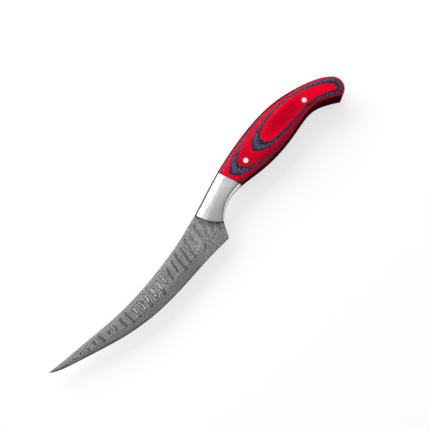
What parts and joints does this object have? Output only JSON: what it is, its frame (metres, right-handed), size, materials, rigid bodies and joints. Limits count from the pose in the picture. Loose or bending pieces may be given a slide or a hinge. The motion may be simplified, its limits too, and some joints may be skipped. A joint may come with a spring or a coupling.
{
  "type": "fillet knife",
  "caption": "Fixed-blade fillet knife: curved pointed blade with a full tang, steel bolsters and pinned, sculpted handle scales ending in a beaked butt.",
  "frame": {"origin": "under the middle of the knife's overall box, on the surface that it lies on", "axes": "lying flat on its right side: -X towards the tip, +X towards the butt, +Y towards the spine and the back of the grip, +Z out of the left side"},
  "size_m": [0.253, 0.0418, 0.0196],
  "materials": {
    "blade_steel": "etched pattern-welded steel, matt grey with darker figures",
    "bolster_steel": "bright satin, brushed lengthwise",
    "laminated_wood": "polished red and blue-grey veneers, resin bonded",
    "pin_steel": "polished, ground flush"
  },
  "bodies": {
    "root": {"blade": "blade_steel", "bolster_left": "bolster_steel", "bolster_right": "bolster_steel", "bolster_pin_front": "bolster_steel", "bolster_pin_rear": "bolster_steel", "scale_left": "laminated_wood", "scale_right": "laminated_wood", "handle_pin_front": "pin_steel", "handle_pin_rear": "pin_steel"}
  },
  "joints": []
}
